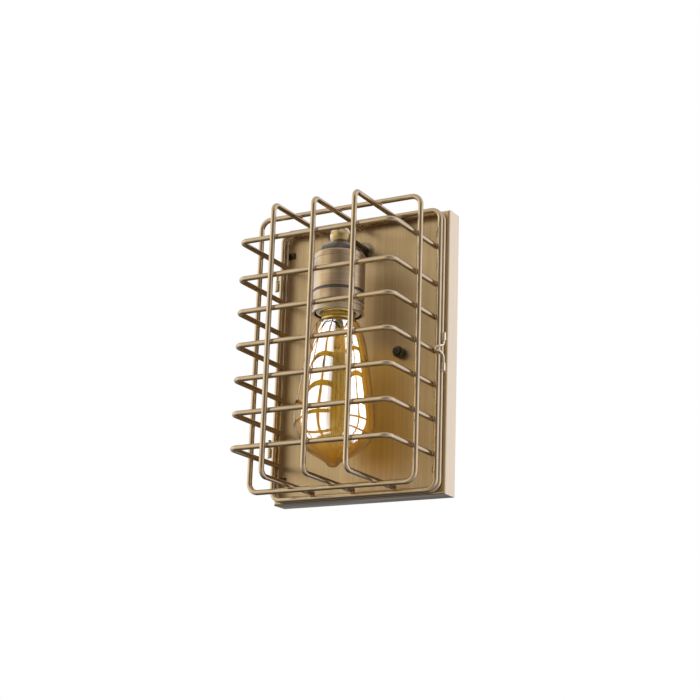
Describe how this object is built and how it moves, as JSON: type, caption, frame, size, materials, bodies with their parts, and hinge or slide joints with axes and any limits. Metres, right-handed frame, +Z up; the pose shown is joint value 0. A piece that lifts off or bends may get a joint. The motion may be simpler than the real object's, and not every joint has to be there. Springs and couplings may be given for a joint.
{
  "type": "cage wall light",
  "caption": "Caged wall light: a shallow brass backplate, a hinged wire cage door with a spring clip, and a socket on a short arm that holds a clear bulb.",
  "frame": {"origin": "middle of the backplate's rear face, on the wall", "axes": "+Z up, +X to the right of a person who faces the light, and the front of the light towards -Y"},
  "size_m": [0.1561, 0.1016, 0.2286],
  "materials": {
    "plate_brass": "brushed vertically, lightly aged",
    "wire_brass": "satin, lightly aged",
    "bright_brass": "satin",
    "dark_brass": "aged",
    "socket_brass": "spun, lightly aged",
    "lamp_brass": "bright",
    "zinc_steel": "zinc plated",
    "green_steel": "green dyed zinc",
    "holder": "glazed",
    "cap_glass": "vitreous black",
    "solder": "dull",
    "bulb_glass": "clear amber",
    "stem_glass": "clear",
    "filament": "thin wire"
  },
  "bodies": {
    "wall_unit": {"backplate": "plate_brass", "box_bar": "zinc_steel", "stud_bar": "zinc_steel", "bar_rivet": "zinc_steel", "ground_screw": "green_steel", "mounting_studs": "lamp_brass", "lock_nuts": "zinc_steel", "cap_nuts": "dark_brass", "arm_tube": "dark_brass", "arm_collar": "dark_brass", "arm_nut": "zinc_steel", "arm_knob": "socket_brass", "socket_nipple": "zinc_steel", "nipple_nut": "zinc_steel", "socket_dome": "dark_brass", "socket_shell": "socket_brass", "socket_ring": "socket_brass", "lamp_insulator": "holder", "thread_shell": "lamp_brass", "centre_contact": "lamp_brass", "fixed_ring": "wire_brass", "ring_feet": "dark_brass", "foot_rivets": "dark_brass", "hinge_barrel_top": "bright_brass", "hinge_barrel_bottom": "bright_brass", "hinge_pin_top": "dark_brass", "hinge_pin_bottom": "dark_brass", "clip_sleeve_top": "bright_brass", "clip_sleeve_bottom": "bright_brass"},
    "cage_door": {"door_ring": "wire_brass", "middle_ring": "wire_brass", "hinge_eye_top": "bright_brass", "hinge_eye_bottom": "bright_brass", "cross_bar_1": "wire_brass", "cross_bar_2": "wire_brass", "cross_bar_3": "wire_brass", "cross_bar_4": "wire_brass", "cross_bar_5": "wire_brass", "cross_bar_6": "wire_brass", "cross_bar_7": "wire_brass", "upright_bar_1": "wire_brass", "upright_bar_2": "wire_brass", "upright_bar_3": "wire_brass"},
    "latch_clip": {"latch_clip": "bright_brass"},
    "bulb_tip": {"bulb_contact": "solder"},
    "bulb": {"bulb_glass": "bulb_glass", "bulb_cap": "lamp_brass", "bulb_insulator": "cap_glass", "bulb_stem": "stem_glass", "filament_mast": "lamp_brass", "filament": "filament"}
  },
  "joints": [
    {"name": "door_swing", "type": "hinge", "parent": "wall_unit", "child": "cage_door", "pos_m": [-0.077, -0.02565, 0], "axis": [0, 0, -1], "range_deg": [0, 105]},
    {"name": "clip_turn", "type": "hinge", "parent": "wall_unit", "child": "latch_clip", "pos_m": [0.07555, -0.02215, 0], "axis": [0, 0, 1], "range_deg": [0, 110]},
    {"name": "bulb_travel", "type": "slide", "parent": "wall_unit", "child": "bulb_tip", "axis": [0, 0, -1], "range_m": [0, 0.00909]},
    {"name": "bulb_turn", "type": "hinge", "parent": "bulb_tip", "child": "bulb", "pos_m": [0, -0.056, 0], "axis": [0, 0, -1], "range_deg": [0, 900]}
  ],
  "couplings": [
    {"joint": "bulb_travel", "follows": "bulb_turn", "m_per_rad": 0.00057757}
  ]
}
